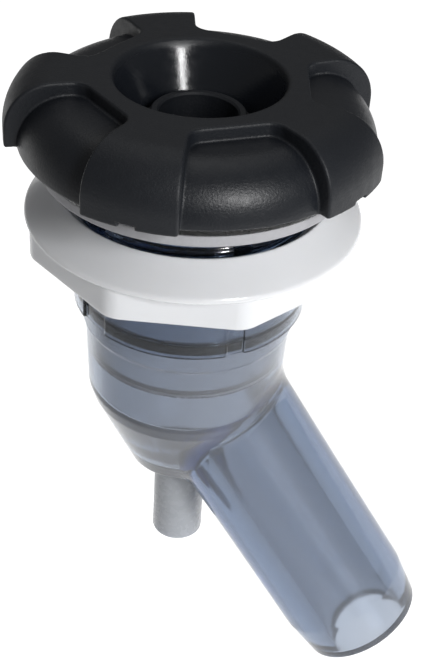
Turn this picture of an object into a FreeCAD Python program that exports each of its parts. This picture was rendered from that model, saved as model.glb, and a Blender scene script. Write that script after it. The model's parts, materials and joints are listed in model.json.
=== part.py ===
"""Panel valve with a five-lobed handle and a clear lower body, as separate bodies in one document.

Millimetres, +Z up along the valve's axis, origin on that axis in the plane where the gasket meets the
deck. The angled spigot leaves toward +X.
"""
import FreeCAD
import Part
import Sketcher
import math
import os

DIMENSIONS = {
    # handle
    "handle_radius": 40.8,
    "handle_top": 20.4,
    "handle_base": 6.4,
    "handle_shoulder": 10.4,
    "recess_radius": 38.2,
    "recess_top": 17.4,
    "recess_shoulder": 10.6,
    "recess_chord": 22.6,
    "recess_half_angle": 21.6,
    "recess_corner": 3.6,
    "bowl_rim_radius": 18.4,
    "bowl_floor_radius": 12.7,
    "bowl_floor": 8.6,
    "handle_wall": 2.4,
    "handle_inner_radius": 35.6,
    "handle_inner_top": 15.0,
    "handle_inner_shoulder": 8.4,
    "hub_bore": 10.4,
    "air_notch_width": 3.6,
    "air_notch_height": 1.0,
    "key_width": 3.0,
    "key_radius": 11.8,
    "key_clearance": 0.1,
    "clip_play": 0.05,
    # stem and its fixings
    "stem_radius": 10.3,
    "stem_bore": 8.4,
    "stem_well_radius": 7.9,
    "stem_well_top": 4.2,
    "stem_top": 12.3,
    "stem_chamfer": 0.4,
    "stem_floor": 1.5,
    "stem_foot": -0.2,
    "stem_collar_radius": 12.0,
    "stem_collar_base": 5.0,
    "hex_flats": 14.0,
    "hex_length": 2.2,
    "hex_clearance": 0.1,
    "clip_groove_radius": 9.5,
    "clip_thickness": 1.0,
    "stem_clip_radius": 12.0,
    "clip_gap_angle": 50.0,
    "stop_lug_radius": 21.4,
    "stop_lug_half_angle": 6.0,
    "stop_lug_play": 0.3,
    "stop_pin_radius": 1.25,
    "stop_pin_circle": 20.3,
    "stop_pin_top": 6.2,
    "stop_pin_base": 1.9,
    "dowel_fit": 0.02,
    "dowel_spare": 0.05,
    "screw_radius": 2.0,
    "screw_clearance": 0.15,
    "screw_fit": 0.02,
    "screw_head_radius": 3.9,
    "screw_head_height": 2.4,
    "screw_head_round": 0.8,
    "screw_end": -11.0,
    "screw_point": 0.6,
    "screw_spare": 0.5,
    "screw_slot_width": 1.2,
    "screw_slot_depth": 1.2,
    "washer_radius": 13.0,
    "washer_play": 0.1,
    "stem_clearance": 0.1,
    "ring_clearance": 0.04,
    # bonnet
    "bonnet_radius": 24.1,
    "bonnet_base": 0.9,
    "bonnet_top": 3.9,
    "bonnet_bore": 10.36,
    "window_inner": 13.4,
    "window_outer": 18.4,
    "window_half_angle": 38.0,
    "stem_ring_outer": 12.0,
    "stem_ring_base": 1.5,
    "stem_ring_height": 1.8,
    "bonnet_ring_inner": 22.7,
    "bonnet_ring_base": 1.6,
    "bonnet_ring_height": 1.6,
    "bonnet_clip_inner": 22.2,
    "bonnet_clip_outer": 25.2,
    "bonnet_clip_gap": 30.0,
    "bonnet_clip_spare": 0.1,
    # rotor
    "rotor_radius": 21.4,
    "rotor_bore": 18.75,
    "rotor_top": -0.2,
    "rotor_floor": -3.4,
    "rotor_base": -46.4,
    "rotor_boss_radius": 5.5,
    "rotor_boss_base": -13.0,
    "rotor_ring_groove": 19.8,
    "rotor_ring_top": -8.0,
    "rotor_ring_height": 2.0,
    "face_seal_radius": 20.9,
    "face_seal_top": 0.8,
    # barrel
    "flange_radius": 34.5,
    "flange_top": 5.4,
    "gasket_height": 2.9,
    "thread_radius": 26.4,
    "barrel_base": -33.4,
    "barrel_bore": 24.2,
    "barrel_throat": 21.5,
    "barrel_ledge": -13.7,
    "ring_seat_radius": 25.2,
    "ring_seat_top": -30.3,
    "keyway_depth": 0.7,
    "wide_keyway": 8.0,
    "narrow_keyway": 3.8,
    "wide_keyway_angle": -124.0,
    "narrow_keyway_angle": -48.0,
    "body_ring_inner": 22.4,
    "body_gap": 0.2,
    # gasket and nut
    "gasket_inner": 26.9,
    "gasket_outer": 33.9,
    "nut_bore": 26.5,
    "nut_mouth": 29.7,
    "nut_top": -5.0,
    "nut_rim_radius": 37.0,
    "nut_rim_top": -10.4,
    "nut_rim_base": -11.4,
    "nut_base": -18.8,
    "nut_corner_radius": 37.0,
    "nut_corner_angle": -8.1,
    "nut_core_inner": 29.4,
    "nut_core_outer": 32.2,
    "nut_core_top": -14.0,
    "nut_edge_round": 6.0,
    # lower body
    "neck_radius": 24.15,
    "cup_ridge_radius": 24.5,
    "cup_ridge_base": -38.4,
    "cup_ridge_bevel": 0.7,
    "cup_top_radius": 23.8,
    "cup_bottom_radius": 23.1,
    "cup_shoulder": -57.2,
    "cup_bevel_radius": 22.2,
    "cup_bevel_base": -60.2,
    "cone_end_radius": 12.8,
    "cone_end": -80.6,
    "cup_ledge": -47.4,
    "cup_ledge_radius": 19.4,
    "cup_inner_shoulder": -57.6,
    "cup_floor_radius": 9.6,
    "cup_floor": -76.6,
    "spigot_angle": 36.0,
    "spigot_origin": -51.0,
    "spigot_radius": 16.7,
    "spigot_root_radius": 17.0,
    "spigot_start": 9.0,
    "spigot_land_start": 45.0,
    "spigot_length": 88.4,
    "spigot_lead_in": 11.0,
    "spigot_end_radius": 15.3,
    "spigot_bore": 9.5,
    "spigot_bore_start": 20.0,
    "foot_ring_inner": 19.5,
    "foot_ring_outer": 21.3,
    "foot_ring_height": 0.9,
    # drain tube
    "drain_radius": 6.35,
    "drain_bore": 4.8,
    "drain_plug_radius": 5.9,
    "drain_top": -78.2,
    "drain_shoulder": -80.9,
    "drain_base": -108.0,
    "drain_socket": 5.95,
    "drain_relief": 7.0,
}
LOBES = 5
FIRST_LOBE_ANGLE = -90.0
KEYS = 2
WINDOWS = 2
HEXAGON = 6
OCTAGON = 8
STOP_LUG_ANGLE = 135.0
HANDLE_TRAVEL = 90.0
STOP_SPARE_ANGLE = 0.6
CLIP_MIDDLE_ANGLE = 90.0
CUT_PAST = 1.0      # how far a cutting shape reaches past the face it opens
SHEET_NAME = "Dims"


class Size:
    """A length known both as a number and as an expression over the spreadsheet."""

    def __init__(self, number, text):
        self.number = number
        self.text = text

    def __add__(self, other):
        other = as_size(other)
        return Size(self.number + other.number, f"({self.text} + {other.text})")

    def __sub__(self, other):
        other = as_size(other)
        return Size(self.number - other.number, f"({self.text} - {other.text})")

    def __mul__(self, factor):
        return Size(self.number * factor, f"({self.text} * {factor})")

    def __truediv__(self, divisor):
        return Size(self.number / divisor, f"({self.text} / {divisor})")

    def __neg__(self):
        return Size(-self.number, f"(-{self.text})")


def as_size(value):
    if isinstance(value, Size):
        return value
    return Size(float(value), f"({value})")


def dim(name):
    return Size(DIMENSIONS[name], f"{SHEET_NAME}.{name}")


def make_sheet(doc):
    sheet = doc.addObject("Spreadsheet::Sheet", SHEET_NAME)
    for row, (name, value) in enumerate(DIMENSIONS.items(), start=1):
        sheet.set(f"A{row}", name)
        sheet.set(f"B{row}", str(value))
        sheet.setAlias(f"B{row}", name)
    doc.recompute()
    return sheet


# ---------------------------------------------------------------------------- sketches and features

def new_body(doc, label):
    body = doc.addObject("PartDesign::Body", label)
    body.Label = label
    body.Placement = FreeCAD.Placement()
    return body


def new_sketch(body, role, height=None, turn=0.0):
    """A sketch on one of the body's origin planes, raised by height and turned about its normal."""
    sketch = body.newObject("Sketcher::SketchObject", "Sketch")
    plane = next(item for item in body.Origin.OriginFeatures if item.Role == role)
    sketch.AttachmentSupport = [(plane, "")]
    sketch.MapMode = "FlatFace"
    offset = FreeCAD.Vector(0, 0, height.number if height else 0)
    rotation = FreeCAD.Rotation(FreeCAD.Vector(0, 0, 1), turn)
    sketch.AttachmentOffset = FreeCAD.Placement(offset, rotation)
    if height:
        sketch.setExpression("AttachmentOffset.Base.z", height.text)
    return sketch


def pin_value(sketch, size, kind, *geometry):
    """Adds a constraint whose value follows the spreadsheet."""
    size = as_size(size)
    index = sketch.addConstraint(Sketcher.Constraint(kind, *geometry, size.number))
    sketch.setExpression(f"Constraints[{index}]", size.text)


def arc_between(start, end, radius):
    """The shorter arc from start to end, bulging to the right of that direction."""
    middle = (start + end) / 2
    half = (end - start) / 2
    reach = math.sqrt(max(radius * radius - half.Length ** 2, 0.0))
    side = FreeCAD.Vector(half.y, -half.x, 0).normalize()
    centre = middle - side * reach
    return Part.Arc(start, centre + side * radius, end)


def outline(sketch, corners):
    """A closed anticlockwise outline of corners (x, y), or (x, y, radius) before a convex arc."""
    points = [FreeCAD.Vector(as_size(c[0]).number, as_size(c[1]).number, 0) for c in corners]
    count = len(corners)
    for index, corner in enumerate(corners):
        start = points[index]
        end = points[(index + 1) % count]
        if len(corner) == 3:
            sketch.addGeometry(arc_between(start, end, corner[2].number), False)
        else:
            sketch.addGeometry(Part.LineSegment(start, end), False)
    starts = [corner_vertex(sketch, index, points[index]) for index in range(count)]
    ends = [3 - vertex for vertex in starts]
    for index in range(count):
        after = (index + 1) % count
        sketch.addConstraint(Sketcher.Constraint("Coincident", index, ends[index], after, starts[after]))
    for index, corner in enumerate(corners):
        pin_value(sketch, corner[0], "DistanceX", -1, 1, index, starts[index])
        pin_value(sketch, corner[1], "DistanceY", -1, 1, index, starts[index])
        if len(corner) == 3:
            pin_value(sketch, corner[2], "Radius", index)


def corner_vertex(sketch, index, point):
    """1 if the edge begins at the point, 2 if it ends there: arcs always run anticlockwise."""
    begins = sketch.getPoint(index, 1).distanceToPoint(point)
    ends = sketch.getPoint(index, 2).distanceToPoint(point)
    return 1 if begins <= ends else 2


def circle(sketch, radius, x=0, y=0):
    x = as_size(x)
    y = as_size(y)
    centre = FreeCAD.Vector(x.number, y.number, 0)
    index = sketch.addGeometry(Part.Circle(centre, FreeCAD.Vector(0, 0, 1), radius.number), False)
    pin_value(sketch, x, "DistanceX", -1, 1, index, 3)
    pin_value(sketch, y, "DistanceY", -1, 1, index, 3)
    pin_value(sketch, radius, "Radius", index)


def rectangle(sketch, left, right, low, high):
    outline(sketch, [(left, low), (right, low), (right, high), (left, high)])


def sector(sketch, inner, outer, middle, half):
    """A ring sector about the sketch's origin: middle is its angle in degrees, half its half angle."""
    first = math.radians(middle - half.number)
    last = math.radians(middle + half.number)
    axis = FreeCAD.Vector(0, 0, 1)
    here = FreeCAD.Vector(0, 0, 0)
    for radius in (inner, outer):
        ring = Part.Circle(here, axis, radius.number)
        index = sketch.addGeometry(Part.ArcOfCircle(ring, first, last), False)
        sketch.addConstraint(Sketcher.Constraint("Coincident", index, 3, -1, 1))
        pin_value(sketch, radius, "Radius", index)
    for vertex, angle, direction in ((1, first, -1), (2, last, 1)):
        ray = FreeCAD.Vector(math.cos(angle), math.sin(angle), 0)
        side = Part.LineSegment(ray * inner.number, ray * outer.number)
        index = sketch.addGeometry(side, False)
        sketch.addConstraint(Sketcher.Constraint("Coincident", index, 1, 0, vertex))
        sketch.addConstraint(Sketcher.Constraint("Coincident", index, 2, 1, vertex))
        sketch.addConstraint(Sketcher.Constraint("PointOnObject", -1, 1, index))
        constraint = Sketcher.Constraint("Angle", index, angle)
        number = sketch.addConstraint(constraint)
        text = f"({middle} {'+' if direction > 0 else '-'} {half.text}) * 1 deg"
        sketch.setExpression(f"Constraints[{number}]", text)


def revolve(body, corners, cut=False, label="Revolution"):
    """Turns an outline in the XZ plane about Z, as material or as a groove."""
    sketch = new_sketch(body, "XZ_Plane")
    outline(sketch, corners)
    kind = "PartDesign::Groove" if cut else "PartDesign::Revolution"
    feature = body.newObject(kind, label)
    feature.Profile = sketch
    feature.ReferenceAxis = (sketch, ["V_Axis"])
    feature.Angle = 360
    body.Tip = feature
    return feature


def groove(body, corners, label="Groove"):
    return revolve(body, corners, cut=True, label=label)


def pad(body, draw, low, high, label="Pad", turn=0.0):
    """Raises what draw(sketch) draws in the XY plane, from the level low to the level high."""
    sketch = new_sketch(body, "XY_Plane", low, turn)
    draw(sketch)
    feature = body.newObject("PartDesign::Pad", label)
    feature.Profile = sketch
    feature.Length = (high - low).number
    feature.setExpression("Length", (high - low).text)
    body.Tip = feature
    return feature


def pocket(body, draw, low, high, label="Pocket", turn=0.0):
    """Cuts what draw(sketch) draws in the XY plane, from the level high down to the level low."""
    sketch = new_sketch(body, "XY_Plane", high, turn)
    draw(sketch)
    feature = body.newObject("PartDesign::Pocket", label)
    feature.Profile = sketch
    feature.Length = (high - low).number
    feature.setExpression("Length", (high - low).text)
    body.Tip = feature
    return feature


def repeat_around(body, feature, count, label="Pattern"):
    """Copies a feature around Z."""
    pattern = body.newObject("PartDesign::PolarPattern", label)
    pattern.Originals = [feature]
    axis = next(item for item in body.Origin.OriginFeatures if item.Role == "Z_Axis")
    pattern.Axis = (axis, [""])
    pattern.Angle = 360
    pattern.Occurrences = count
    body.Tip = pattern
    return pattern


def round_edges(body, wanted, radius, label="Fillet"):
    """Rounds the tip's edges that wanted(edge) picks."""
    body.Document.recompute()
    base = body.Tip
    names = [f"Edge{number}" for number, edge in enumerate(base.Shape.Edges, start=1) if wanted(edge)]
    feature = body.newObject("PartDesign::Fillet", label)
    feature.Base = (base, names)
    feature.Radius = radius.number
    feature.setExpression("Radius", radius.text)
    body.Tip = feature
    return feature


def is_upright(edge, radius, tolerance=0.4):
    """True for a straight edge parallel to Z at the given distance from the axis."""
    ends = [vertex.Point for vertex in edge.Vertexes]
    if len(ends) != 2 or abs(ends[0].z - ends[1].z) < 1e-6:
        return False
    level = ends[0].sub(ends[1])
    if math.hypot(level.x, level.y) > 1e-6:
        return False
    return abs(math.hypot(ends[0].x, ends[0].y) - radius) < tolerance


def ring_body(doc, label, inner, outer, low, high):
    """A plain ring of rectangular section."""
    body = new_body(doc, label)
    revolve(body, [(inner, low), (outer, low), (outer, high), (inner, high)])
    return body


def oring(doc, label, inner, outer, level):
    """A torus whose section fits between the two radii, centred on the level."""
    ring = doc.addObject("Part::Torus", label)
    ring.Label = label
    middle = (inner + outer) / 2
    section = (outer - inner) / 2
    ring.setExpression("Radius1", middle.text)
    ring.setExpression("Radius2", section.text)
    ring.setExpression("Placement.Base.z", level.text)
    return ring


# ---------------------------------------------------------------------------- turning parts

def make_handle(doc):
    """Five-lobed handle: a dome, five recesses let into it, the bowl, and a hollow underside."""
    body = new_body(doc, "valve_handle")
    top = dim("handle_top")
    base = dim("handle_base")
    edge = dim("handle_radius")
    shoulder = dim("handle_shoulder")
    revolve(body, [(0, base), (edge, base), (edge, top - shoulder, shoulder), (edge - shoulder, top),
                   (0, top)], label="LobeDome")
    cut_recesses(body)
    recess_edge = dim("recess_radius")
    recess_top = dim("recess_top")
    bend = dim("recess_shoulder")
    revolve(body, [(0, base), (recess_edge, base), (recess_edge, recess_top - bend, bend),
                   (recess_edge - bend, recess_top), (0, recess_top)], label="RecessDome")
    cut_underside(body)
    rim = dim("bowl_rim_radius")
    floor = dim("bowl_floor_radius")
    floor_level = dim("bowl_floor")
    above = top + CUT_PAST
    groove(body, [(0, floor_level), (floor, floor_level), (rim, top), (rim, above), (0, above)], label="Bowl")
    pocket(body, lambda sketch: circle(sketch, dim("hub_bore")), base - CUT_PAST, floor_level + CUT_PAST,
           label="HubBore")
    key_slots(body)
    air_notches(body)
    return body


def cut_recesses(body):
    chord = dim("recess_chord")
    half = math.radians(DIMENSIONS["recess_half_angle"])
    reach = dim("handle_radius") + CUT_PAST
    slope = math.tan(half)
    top = dim("handle_top") + CUT_PAST
    base = dim("handle_base") - CUT_PAST

    def wedge(sketch):
        outline(sketch, [(chord, chord * -slope), (reach, reach * -slope),
                         (reach, reach * slope), (chord, chord * slope)])

    turn = FIRST_LOBE_ANGLE + 180.0 / LOBES
    cut = pocket(body, wedge, base, top, label="Recess", turn=turn)
    repeat_around(body, cut, LOBES, label="Recesses")
    corner = DIMENSIONS["recess_chord"] / math.cos(half)
    round_edges(body, lambda edge: is_upright(edge, corner), dim("recess_corner"), label="RecessCorners")


def cut_underside(body):
    """Leaves an even wall below the dome and around the bowl."""
    base = dim("handle_base")
    wall = dim("handle_wall")
    top = dim("handle_inner_top")
    edge = dim("handle_inner_radius")
    bend = dim("handle_inner_shoulder")
    hub = dim("bowl_floor_radius") + wall
    slope = bowl_slope()
    below = base - CUT_PAST
    groove(body, [(hub, below), (edge, below), (edge, top - bend, bend), (edge - bend, top),
                  (hub + (top - base) * slope, top), (hub, base)], label="Underside")


def bowl_slope():
    rise = DIMENSIONS["handle_top"] - DIMENSIONS["bowl_floor"]
    return (DIMENSIONS["bowl_rim_radius"] - DIMENSIONS["bowl_floor_radius"]) / rise


def key_slots(body):
    half = dim("key_width") / 2
    reach = dim("key_radius")

    def both(sketch):
        rectangle(sketch, -reach, reach, -half, half)

    pocket(body, both, dim("handle_base") - CUT_PAST, dim("bowl_floor") + CUT_PAST, label="KeySlots")


def air_notches(body):
    half = dim("air_notch_width") / 2
    inner = dim("handle_inner_radius") - CUT_PAST
    outer = dim("handle_radius") + CUT_PAST
    base = dim("handle_base")

    def notch(sketch):
        rectangle(sketch, inner, outer, -half, half)

    cut = pocket(body, notch, base - CUT_PAST, base + dim("air_notch_height"), label="AirNotch",
                 turn=FIRST_LOBE_ANGLE)
    repeat_around(body, cut, LOBES, label="AirNotches")


def make_stem(doc):
    """Hollow stem: the ring seen in the bowl at its top, a hexagon that drives the rotor at its foot."""
    body = new_body(doc, "valve_stem")
    radius = dim("stem_radius")
    bore = dim("stem_bore")
    top = dim("stem_top")
    chamfer = dim("stem_chamfer")
    collar = dim("stem_collar_radius")
    collar_base = dim("stem_collar_base")
    floor = dim("stem_floor")
    foot = dim("stem_foot")
    clip_base = dim("bowl_floor") + dim("clip_play")
    clip_top = clip_base + dim("clip_thickness") + dim("clip_play")
    neck = dim("clip_groove_radius")
    well = dim("stem_well_radius")
    well_top = dim("stem_well_top")
    revolve(body, [(0, foot), (radius, foot), (radius, collar_base), (collar, collar_base),
                   (collar, dim("handle_base")), (radius, dim("handle_base")), (radius, clip_base),
                   (neck, clip_base), (neck, clip_top), (radius, clip_top), (radius, top - chamfer),
                   (radius - chamfer, top), (bore + chamfer, top), (bore, top - chamfer), (bore, well_top),
                   (well, well_top), (well, floor), (0, floor)])
    half_key = dim("key_width") / 2 - dim("key_clearance")
    reach = dim("key_radius") - dim("key_clearance")
    drive_top = dim("bowl_floor") - dim("key_clearance")

    def one_key(sketch):
        rectangle(sketch, neck, reach, -half_key, half_key)

    key = pad(body, one_key, collar_base, drive_top, label="Key")
    repeat_around(body, key, KEYS, label="Keys")

    def stop_lug(sketch):
        sector(sketch, neck, dim("stop_lug_radius"), 0.0, dim("stop_lug_half_angle"))

    pad(body, stop_lug, collar_base, dim("handle_base") - dim("stop_lug_play"), label="StopLug",
        turn=STOP_LUG_ANGLE)
    hex_end = foot - dim("hex_length")
    pad(body, lambda sketch: hexagon(sketch, dim("hex_flats")), hex_end, foot, label="Hexagon")
    clearance = dim("screw_radius") + dim("screw_clearance")
    pocket(body, lambda sketch: circle(sketch, clearance), hex_end - CUT_PAST, floor + CUT_PAST,
           label="ScrewHole")
    return body


def polygon(sketch, corner, sides):
    """A regular polygon about the sketch's origin, its first corner on the X axis."""
    turns = [2 * math.pi * side / sides for side in range(sides)]
    outline(sketch, [(corner * math.cos(turn), corner * math.sin(turn)) for turn in turns])


def hexagon(sketch, flats):
    """A hexagon with the given width across its flats."""
    polygon(sketch, flats / (2 * math.cos(math.pi / HEXAGON)), HEXAGON)


def make_stem_clip(doc):
    """Open clip in the stem's groove, which holds the handle down."""
    body = new_body(doc, "stem_clip")
    base = dim("bowl_floor") + dim("clip_play")
    inner = dim("clip_groove_radius")
    outer = dim("stem_clip_radius")
    half = (as_size(360) - dim("clip_gap_angle")) / 2
    pad(body, lambda sketch: sector(sketch, inner, outer, CLIP_MIDDLE_ANGLE, half), base,
        base + dim("clip_thickness"))
    return body


def make_rotor_screw(doc):
    """Slotted pan-head screw from the stem's floor into the rotor's boss."""
    body = new_body(doc, "rotor_screw")
    floor = dim("stem_floor")
    head = dim("screw_head_radius")
    top = floor + dim("screw_head_height")
    shank = dim("screw_radius")
    end = dim("screw_end")
    point = dim("screw_point")
    round_over = dim("screw_head_round")
    revolve(body, [(0, end), (shank - point, end), (shank, end + point), (shank, floor), (head, floor),
                   (head, top - round_over, round_over), (head - round_over, top), (0, top)])
    half = dim("screw_slot_width") / 2
    reach = head + CUT_PAST
    pocket(body, lambda sketch: rectangle(sketch, -reach, reach, -half, half),
           top - dim("screw_slot_depth"), top + CUT_PAST, label="Slot")
    return body


def make_rotor(doc):
    """Clear turning shell: windows in its top plate, open at its foot."""
    body = new_body(doc, "valve_rotor")
    outer = dim("rotor_radius")
    inner = dim("rotor_bore")
    top = dim("rotor_top")
    floor = dim("rotor_floor")
    base = dim("rotor_base")
    boss = dim("rotor_boss_radius")
    boss_base = dim("rotor_boss_base")
    ring_top = dim("rotor_ring_top")
    ring_base = ring_top - dim("rotor_ring_height")
    groove_radius = dim("rotor_ring_groove")
    revolve(body, [(0, boss_base), (boss, boss_base), (boss, floor), (inner, floor), (inner, base),
                   (outer, base), (outer, ring_base), (groove_radius, ring_base), (groove_radius, ring_top),
                   (outer, ring_top), (outer, top), (0, top)])
    cut_windows(body, floor - CUT_PAST, top + CUT_PAST)
    spare = dim("hex_clearance")
    pocket(body, lambda sketch: hexagon(sketch, dim("hex_flats") + spare),
           top - dim("hex_length") - spare, top + CUT_PAST, label="HexSocket")
    pocket(body, lambda sketch: circle(sketch, dim("screw_radius") + dim("screw_fit")),
           dim("screw_end") - dim("screw_spare"), top + CUT_PAST, label="ScrewPilot")
    return body


def cut_windows(body, low, high):
    """Two opposite sector windows, the same in the bonnet, the seal and the rotor."""
    def window(sketch):
        sector(sketch, dim("window_inner"), dim("window_outer"), 0.0, dim("window_half_angle"))

    cut = pocket(body, window, low, high, label="Window")
    repeat_around(body, cut, WINDOWS, label="Windows")


def make_face_seal(doc):
    """Thin low-friction disc between the rotor's top plate and the bonnet."""
    body = new_body(doc, "rotor_face_seal")
    low = dim("rotor_top")
    high = dim("face_seal_top")
    inner = dim("stem_radius") + dim("stem_clearance")
    outer = dim("face_seal_radius")
    revolve(body, [(inner, low), (outer, low), (outer, high), (inner, high)])
    cut_windows(body, low - CUT_PAST, high + CUT_PAST)
    return body


# ---------------------------------------------------------------------------- fixed upper parts

def make_bonnet(doc):
    """Fixed window plate that closes the barrel's mouth and guides the stem."""
    body = new_body(doc, "valve_bonnet")
    bore = dim("bonnet_bore")
    edge = dim("bonnet_radius")
    low = dim("bonnet_base")
    high = dim("bonnet_top")
    ring_low = dim("stem_ring_base")
    ring_high = ring_low + dim("stem_ring_height")
    ring_wall = dim("stem_ring_outer")
    rim_ring = dim("bonnet_ring_inner")
    rim_low = dim("bonnet_ring_base")
    rim_high = rim_low + dim("bonnet_ring_height")
    revolve(body, [(bore, low), (edge, low), (edge, rim_low), (rim_ring, rim_low), (rim_ring, rim_high),
                   (edge, rim_high), (edge, high), (bore, high), (bore, ring_high), (ring_wall, ring_high),
                   (ring_wall, ring_low), (bore, ring_low)])
    cut_windows(body, low - CUT_PAST, high + CUT_PAST)
    hole = dim("stop_pin_radius") + dim("dowel_fit")
    for turn in stop_angles():
        pocket(body, lambda sketch: circle(sketch, hole, x=dim("stop_pin_circle")),
               dim("stop_pin_base") - dim("dowel_spare"), high + CUT_PAST, label="StopPinHole", turn=turn)
    return body


def stop_angles():
    """Where the two stop pins stand, so that the lug meets one at each end of a quarter turn."""
    reach = DIMENSIONS["stop_lug_half_angle"]
    pin = math.degrees(math.asin(DIMENSIONS["stop_pin_radius"] / DIMENSIONS["stop_pin_circle"]))
    away = reach + pin + STOP_SPARE_ANGLE
    return (STOP_LUG_ANGLE + away, STOP_LUG_ANGLE - HANDLE_TRAVEL - away)


def make_stop_pins(doc):
    """Two dowels standing in the bonnet."""
    pins = []
    for number, turn in enumerate(stop_angles(), start=1):
        pin = doc.addObject("Part::Cylinder", f"StopPin{number}")
        pin.setExpression("Radius", dim("stop_pin_radius").text)
        pin.setExpression("Height", (dim("stop_pin_top") - dim("stop_pin_base")).text)
        circle_text = dim("stop_pin_circle").text
        pin.setExpression("Placement.Base.x", f"{circle_text} * cos({turn} deg)")
        pin.setExpression("Placement.Base.y", f"{circle_text} * sin({turn} deg)")
        pin.setExpression("Placement.Base.z", dim("stop_pin_base").text)
        pins.append(pin)
    group = doc.addObject("Part::Compound", "stop_pins")
    group.Label = "stop_pins"
    group.Links = pins
    return group


def make_bonnet_clip(doc):
    """Inside clip that holds the bonnet down in the barrel."""
    body = new_body(doc, "bonnet_clip")
    low = dim("bonnet_top") + dim("clip_play")
    half = (as_size(360) - dim("bonnet_clip_gap")) / 2
    inner = dim("bonnet_clip_inner")
    outer = dim("bonnet_clip_outer")
    pad(body, lambda sketch: sector(sketch, inner, outer, CLIP_MIDDLE_ANGLE, half), low,
        low + dim("clip_thickness"))
    return body


def make_barrel(doc):
    """Clear flanged barrel. The nut's thread is left as its crest cylinder."""
    body = new_body(doc, "barrel")
    flange = dim("flange_radius")
    top = dim("flange_top")
    under = dim("gasket_height")
    crest = dim("thread_radius")
    base = dim("barrel_base")
    bore = dim("barrel_bore")
    throat = dim("barrel_throat")
    seat = dim("ring_seat_radius")
    seat_top = dim("ring_seat_top")
    ledge = dim("barrel_ledge")
    pocket_floor = dim("bonnet_base")
    clip_low = dim("bonnet_top")
    clip_high = clip_low + dim("clip_thickness") + dim("clip_play") * 2
    clip_wall = dim("bonnet_clip_outer") + dim("bonnet_clip_spare")
    revolve(body, [(seat, base), (crest, base), (crest, under), (flange, under), (flange, top),
                   (bore, top), (bore, clip_high), (clip_wall, clip_high), (clip_wall, clip_low),
                   (bore, clip_low), (bore, pocket_floor), (throat, pocket_floor), (throat, ledge),
                   (bore, ledge), (bore, seat_top), (seat, seat_top)])
    cut_keyway(body, dim("wide_keyway"), DIMENSIONS["wide_keyway_angle"], "WideKeyway")
    cut_keyway(body, dim("narrow_keyway"), DIMENSIONS["narrow_keyway_angle"], "NarrowKeyway")
    return body


def cut_keyway(body, width, angle, label):
    """A groove along the thread that keeps the fitting from turning in a keyed deck hole."""
    crest = dim("thread_radius")
    floor = crest - dim("keyway_depth")
    half = width / 2
    pocket(body, lambda sketch: rectangle(sketch, floor, crest + CUT_PAST, -half, half),
           dim("barrel_base") - CUT_PAST, dim("gasket_height"), label=label, turn=angle)


# ---------------------------------------------------------------------------- nut and lower body

def make_nut(doc):
    """Flanged octagonal nut: a conical clamping face over eight flats, cored out from below."""
    body = new_body(doc, "retaining_nut")
    base = dim("nut_base")
    rim_base = dim("nut_rim_base")
    corners = dim("nut_corner_radius")
    turn = DIMENSIONS["nut_corner_angle"]
    bore = dim("nut_bore")
    pad(body, lambda sketch: polygon(sketch, corners, OCTAGON), base, rim_base, label="Octagon", turn=turn)
    upright = DIMENSIONS["nut_corner_radius"]
    round_edges(body, lambda edge: is_upright(edge, upright), dim("nut_edge_round"), label="Corners")
    rim = dim("nut_rim_radius")
    mouth = dim("nut_mouth")
    top = dim("nut_top")
    revolve(body, [(0, rim_base), (rim, rim_base), (rim, dim("nut_rim_top")), (mouth, top), (0, top)],
            label="Cone")
    lead = mouth - bore
    below = base - CUT_PAST
    above = top + CUT_PAST
    groove(body, [(0, below), (bore, below), (bore, top - lead), (mouth, top), (mouth, above), (0, above)],
           label="Bore")
    core = dim("nut_core_top")
    groove(body, [(dim("nut_core_inner"), below), (dim("nut_core_outer"), below),
                  (dim("nut_core_outer"), core), (dim("nut_core_inner"), core)], label="Core")
    return body


def make_lower_body(doc):
    """Clear cup with its neck, cone and angled spigot in one moulding."""
    body = new_body(doc, "lower_body")
    neck = dim("neck_radius")
    neck_top = dim("barrel_ledge")
    seat_top = dim("ring_seat_top")
    base = dim("barrel_base") + dim("body_gap")
    ring_wall = dim("body_ring_inner")
    ridge = dim("cup_ridge_radius")
    ridge_base = dim("cup_ridge_base")
    end = dim("cone_end")
    revolve(body, [(0, neck_top), (neck, neck_top), (neck, seat_top), (ring_wall, seat_top),
                   (ring_wall, base), (ridge, base), (ridge, ridge_base),
                   (dim("cup_top_radius"), ridge_base - dim("cup_ridge_bevel")),
                   (dim("cup_bottom_radius"), dim("cup_shoulder")),
                   (dim("cup_bevel_radius"), dim("cup_bevel_base")), (dim("cone_end_radius"), end), (0, end)],
            label="Cup")
    add_spigot(body)
    cut_cup_interior(body)
    cut_spigot_bore(body)
    make_way_for_drain(body)
    return body


def make_way_for_drain(body):
    """The hole, the tube's socket, and a relief where the tube passes the spigot's root."""
    below = dim("drain_base")
    pocket(body, lambda sketch: circle(sketch, dim("drain_bore")), below, dim("cup_floor") + CUT_PAST,
           label="DrainPassage")
    pocket(body, lambda sketch: circle(sketch, dim("drain_socket")), below, dim("drain_top"),
           label="DrainSocket")
    pocket(body, lambda sketch: circle(sketch, dim("drain_relief")), below, dim("drain_shoulder"),
           label="DrainRelief")


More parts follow.
